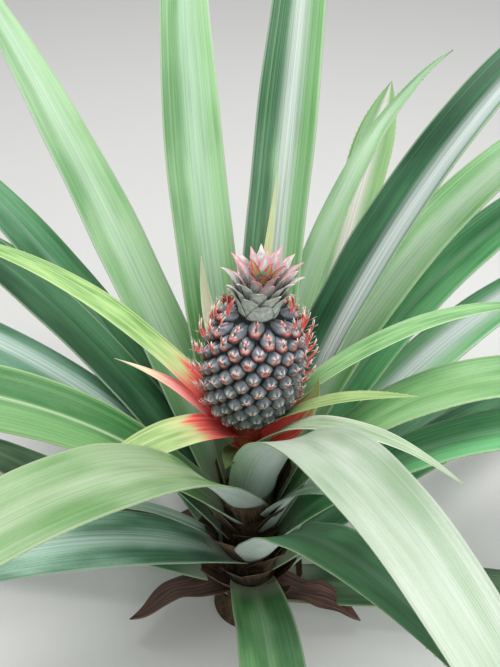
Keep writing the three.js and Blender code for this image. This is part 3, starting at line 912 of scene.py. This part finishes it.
rng = random.Random(EYE_SEED)
eye_places = [
    (share, k) for k, share in enumerate(eye_shares()) if EYE_LOWEST <= share <= EYE_HIGHEST
]
eyes = bmesh.new()
eye_attribute = eyes.verts.layers.float_vector.new("eye")
eye_pattern = eye_shape()
eye_verts = len(eye_pattern.verts)
eye_matrices = []
for share, k in eye_places:
    tall = 1.0 + EYE_STRETCH * smooth_share(share, 0.80, 0.93)
    wide = rng.uniform(0.97, 1.06)
    size = (wide, wide * tall, rng.uniform(0.9, 1.15))
    eye_matrices.append(eye_matrix(share, k, size, rng.uniform(-0.12, 0.12)))
add_copies(eyes, eye_pattern, eye_matrices)
eye_pattern.free()
eye_tones = [
    min(1.0, rng.random() * 0.8 + 0.5 * smooth_share(share, 0.70, 0.92)) for share, k in eye_places
]
for i, vert in enumerate(eyes.verts):
    vert[eye_attribute].z = eye_tones[i // eye_verts]
# painted shade: the body between the eyes is near black
fruit_gap_shade = plain_finish("fruit_gap_shade", "#0d1114", "#1d2226", 0.6)
piece_from(fruit_shape(), "fruit_body", [fruit_gap_shade], "fruit", "fruit")
piece_from(sway_all(eyes), "fruit_eyes", [eye_finish("eye_skin")], "fruit")


# The eyes' bracts: under each eye a thin stiff bract. Low on the front it has dried to a short tan flap. At
# the sides and shoulders it is coral-red, stands out, and ends in white spines.
BRACT_FOOT = -0.0048
BRACT_GAP = 0.0004
BRACT_LEAST_HALF = 0.0002
BRACT_THICKNESS = 0.0006
FLAP_LENGTH = 0.0036
FLAP_HALF = 0.0046
SPINY_LENGTHS = (0.0060, 0.0160)
SPINY_HALVES = (0.0024, 0.0034)
THORNS = ((0.36, -1), (0.50, 1), (0.68, -1))
THORN_RADIUS = 0.00052
THORN_LENGTH = 0.50


def eye_bract_shape(length, half_width, spiny):
    """One bract: it leaves the eye's lower edge, stands out, bends up and runs to a point."""
    shape = sheet_box(columns=4, stations=7)
    place = shape.verts.layers.float_vector.new("blade")

    def path(share):
        up = BRACT_FOOT + length * (0.06 * share + 0.42 * share ** 2)
        out = BRACT_GAP + length * (0.96 * share - 0.20 * share ** 2)
        return Vector((0.0, up, out))

    def half_at(share):
        return half_width * (1.0 - share ** 1.1) ** 0.85 + BRACT_LEAST_HALF

    for vert in shape.verts:
        x, y, z = vert.co
        share = y + 0.5
        side = 2.0 * x
        normal = Vector((0.0, 0.96 - 0.40 * share, -0.06 - 0.84 * share)).normalized()
        hollow = 0.45 * half_at(share) * side * side + z * BRACT_THICKNESS
        vert.co = path(share) + normal * hollow + Vector((side * half_at(share), 0.0, 0.0))
        vert[place] = (side, share * length, share)
    for face in shape.faces:
        face.material_index = 0 if spiny else 1
    if spiny:
        for share, side in THORNS:
            aim = Vector((side * 0.62, 0.35 + share * 0.3, 0.70)).normalized()
            spot = path(share) + Vector((side * half_at(share), 0.0, 0.0)) + aim * length * 0.21
            for vert in add_point(shape, 3, THORN_RADIUS, length * THORN_LENGTH, spot, aim):
                vert[place] = (0.0, 0.0, 1.0 if (vert.co - spot).dot(aim) > 0 else 0.5)
    bmesh.ops.recalc_face_normals(shape, faces=shape.faces)
    return shape


def spine_finish(name, dark, light, tip):
    """A bract's skin: streaked coral that pales at its edges and turns white at its point."""
    material, tree = finish_of(name)
    off_rib, share, place = blade_place(tree)
    streaks = grain(tree, place, (6.0, 90.0, 1.0))
    coral = blend(tree, streaks, 0.35, 0.65, dark, light)
    coral = blend(tree, off_rib, 0.7, 1.0, coral, tip, 0.0, 0.35)
    coral = blend(tree, share, 0.60, 0.90, coral, tip)
    return surfaced(material, coral, streaks, (0.38, 0.52), streaks, 0.3, 0.0004)


eye_bracts = bmesh.new()
eye_bracts.verts.layers.float_vector.new("blade")
for share, k in eye_places:
    turn = EYE_FIRST_TURN - GOLDEN_ANGLE * k
    facing = 0.5 + 0.5 * math.cos(turn + math.pi / 2.0)
    wild = smooth_share(share, -0.10, 0.68) * lerp(1.0, 0.16, smooth_share(facing, 0.52, 0.90))
    wild *= rng.uniform(0.75, 1.20)
    spiny = wild > 0.15 and share > 0.07
    shoulder = smooth_share(share, 0.70, 0.92) * (1.0 - facing ** 3)
    length = SPINY_LENGTHS[0] + SPINY_LENGTHS[1] * wild if spiny else FLAP_LENGTH
    half_width = lerp(*SPINY_HALVES, shoulder) if spiny else FLAP_HALF
    pattern = eye_bract_shape(length, half_width, spiny)
    turned_aside = (0.25 + 0.75 * shoulder) * rng.uniform(-1.0, 1.0)
    add_copies(eye_bracts, pattern, [eye_matrix(share, k, twist=turned_aside)])
    pattern.free()
spine_looks = [
    spine_finish("bract_coral", "#e0383c", "#ff7468", "#fde6dc"),
    spine_finish("bract_tan", "#a04a44", "#c87a6e", "#dcae9e"),
    spine_finish("bract_thorn", "#e8605a", "#f59a8e", "#fff2ea"),
]
piece_from(sway_all(eye_bracts), "fruit_eye_bracts", spine_looks, "fruit")


# The crown: short pointed leaves in the same spiral on top of the fruit, dull grey-green, pressed together
# like scales at the foot and spreading above, with pink toothed tips and a small red and green heart.
CROWN_BASE = 0.3843
CROWN_RADIUS = 0.017
CROWN_HEIGHT = 0.037
CROWN_SUNK = 0.004
CROWN_SIDES = 32
CROWN_LEAVES = 40
CROWN_LEAF_LENGTH = 0.022
CROWN_LEAF_GAIN = 0.015
CROWN_HEART_LOSS = 0.009
CROWN_LEAF_WIDTHS = (0.0245, 0.0095)
CROWN_LEAF_THICKNESS = 0.0014
CROWN_TOOTH = 0.22
CROWN_SPREAD_FROM = 0.52
CROWN_HEART_FROM = 0.86
# painted shade along the lower edges of the crown leaves
CROWN_EDGE_SHADE = "#2f352f"
# For each finish: its dark and its light tone, its edge's colour, how far across and along that starts, and
# how strong it is.
CROWN_FINISHES = {
    "crown_scale": ("#a8aea9", "#d2d6d0", "#dcb8b4", 0.50, 0.55, 0.50),
    "crown_spread": ("#a2a8a2", "#cccec8", "#dc8a98", 0.32, 0.30, 0.80),
    "crown_heart": ("#7f9a58", "#a8906a", "#c23a40", 0.30, 0.25, 0.90),
}


def crown_core_shape():
    foot = CROWN_BASE - CROWN_SUNK
    profile = [
        (0.0, foot), (CROWN_RADIUS * 0.95, foot), (CROWN_RADIUS, CROWN_BASE + 0.012),
        (CROWN_RADIUS * 0.45, CROWN_BASE + CROWN_HEIGHT * 0.8), (0.0, CROWN_BASE + CROWN_HEIGHT * 0.85),
    ]
    return sway_all(turned_shape(profile, CROWN_SIDES))


def crown_leaf_shape(youth, stations=12, columns=6):
    """One crown leaf, on the +X side; youth runs from 0 at the crown's foot to 1 at its heart."""
    length = CROWN_LEAF_LENGTH + CROWN_LEAF_GAIN * math.sin(math.pi * min(1.0, youth * 1.1))
    length -= CROWN_HEART_LOSS * smooth_share(youth, 0.85, 1.0)
    width = lerp(*CROWN_LEAF_WIDTHS, youth)
    reach = CROWN_RADIUS * lerp(0.98, 0.25, youth ** 2)
    foot = CROWN_BASE - 0.0020 + CROWN_HEIGHT * 0.8 * youth
    pitch = 72.0 - 46.0 * youth * (1.0 - youth)
    shape = sheet_box(columns, stations)
    place = shape.verts.layers.float_vector.new("blade")
    here = Vector((reach, 0.0, foot))
    frames = []
    for i in range(stations + 1):
        share = i / stations
        bent = math.radians(pitch + 16.0 - 26.0 * share - 22.0 * share ** 3)
        along = Vector((math.cos(bent), 0.0, math.sin(bent)))
        if i:
            here = here + along * (length / stations)
        frames.append((share, here, Vector((-math.sin(bent), 0.0, math.cos(bent)))))
    for vert in shape.verts:
        x, y, z = vert.co
        share, middle, up = frames[round((y + 0.5) * stations)]
        side = 2.0 * x
        toothed = abs(side) > 0.95 and round(share * stations) % 2
        tooth = 1.0 + (CROWN_TOOTH if toothed else 0.0) * smooth_share(share, 0.35, 0.55)
        half = max(width / 2.0 * (1.0 - share ** 1.6) * tooth, 0.0002)
        layer = z * CROWN_LEAF_THICKNESS * (1.0 - 0.6 * abs(side)) * (1.0 - 0.5 * share)
        girth = max(middle.x, 0.010)
        wrap = girth * (1.0 - math.cos(side * half / girth)) * (1.0 - 0.6 * share)
        vert.co = middle + up * (0.10 * half * side * side + layer) + Vector((-wrap, -side * half, 0.0))
        vert[place] = (side, share * length, share)
    bmesh.ops.recalc_face_normals(shape, faces=shape.faces)
    return shape


def crown_finish(name, dark, light, edge, edge_from, tip_from, edge_share):
    """A crown leaf's dull skin: fine lines, painted shade along its lower edges where the leaves overlap, and
    pink where its teeth stand.
    """
    material, tree = finish_of(name)
    off_rib, share, place = blade_place(tree)
    lines = grain(tree, place, (12.0, 60.0, 1.0))
    mottle = grain(tree, object_place(tree), (220.0, 220.0, 220.0))
    tone = blend(tree, mottle, 0.35, 0.65, dark, light)
    tone = blend(tree, lines, 0.45, 0.65, tone, light, 0.0, 0.5)
    outer = between(tree, off_rib, edge_from, edge_from + 0.3)
    rim = times(tree, outer, between(tree, share, tip_from, tip_from + 0.3))
    tone = mixed(tree, times(tree, rim, edge_share), tone, edge)
    tone = blend(tree, share, 0.80, 1.0, tone, edge, 0.0, edge_share)
    # painted shade: a dark line along each crown leaf's edges, fading out towards its tip, where the leaves
    # overlap
    edge_shade = between(tree, off_rib, 0.90, 0.96)
    edge_shade = times(tree, edge_shade, between(tree, share, 0.35, 0.6, 0.75, 0.0))
    tone = mixed(tree, edge_shade, tone, CROWN_EDGE_SHADE)
    return surfaced(material, tone, lines, (0.62, 0.75), lines, 0.4, 0.0005)


crown = bmesh.new()
crown.verts.layers.float_vector.new("blade")
for k in range(CROWN_LEAVES):
    youth = k / (CROWN_LEAVES - 1)
    pattern = crown_leaf_shape(youth)
    look = (youth >= CROWN_SPREAD_FROM) + (youth >= CROWN_HEART_FROM)
    for face in pattern.faces:
        face.material_index = look
    add_copies(crown, pattern, [Matrix.Rotation(GOLDEN_ANGLE * k, 4, "Z")])
    pattern.free()
crown_looks = [crown_finish(name, *look) for name, look in CROWN_FINISHES.items()]
piece_from(sway_all(crown), "crown_leaves", crown_looks, "crown", "crown")
# painted shade: the core inside the crown is dark, standing for the shade between the crown leaves
crown_core_shade = plain_finish("crown_core_shade", "#2f352f", "#4a524a", 0.7)
piece_from(crown_core_shape(), "crown_core", [crown_core_shade], "crown")


# The floor and the light: a plain pale floor under the plant, plain soft studio light from overhead, and a
# weaker light from the front to fill the shade.
FLOOR_HALF = 25.0
FLOOR_DROP = 0.0005
FLOOR_COLOUR = "#dcdcd8"
FLOOR_ROUGHNESS = 0.9
LIGHT_SIZE = 1.6
LIGHTS = {
    "sky_light": ((0.0, 0.1, 2.4), (0.0, 0.0, 0.2), 49.0),
    "fill_light": ((0.9, -1.7, 1.5), (0.0, 0.0, 0.3), 19.0),
}
SKY_COLOUR = (0.95, 0.97, 1.0, 1.0)
SKY_STRENGTH = 0.40
floor_shape = bmesh.new()
bmesh.ops.create_grid(floor_shape, x_segments=1, y_segments=1, size=FLOOR_HALF)
floor_mesh = bpy.data.meshes.new("floor")
floor_shape.to_mesh(floor_mesh)
floor_shape.free()
floor_look, floor_tree = finish_of("floor_paint")
floor_shader = floor_tree.nodes["Principled BSDF"]
floor_shader.inputs["Base Color"].default_value = colour_of(FLOOR_COLOUR)
floor_shader.inputs["Roughness"].default_value = FLOOR_ROUGHNESS
floor_mesh.materials.append(floor_look)
floor = placed("floor", floor_mesh)
floor.location = (0.0, 0.0, -FLOOR_DROP)
for name, (place, aim, power) in LIGHTS.items():
    lamp = bpy.data.lights.new(name, "AREA")
    lamp.shape = "DISK"
    lamp.size = LIGHT_SIZE
    lamp.energy = power
    light = placed(name, lamp)
    light.location = place
    light.rotation_euler = (Vector(aim) - Vector(place)).to_track_quat("-Z", "Y").to_euler()
sky = bpy.data.worlds.new("sky")
sky.use_nodes = True
background = sky.node_tree.nodes["Background"]
background.inputs["Color"].default_value = SKY_COLOUR
background.inputs["Strength"].default_value = SKY_STRENGTH
bpy.context.scene.world = sky
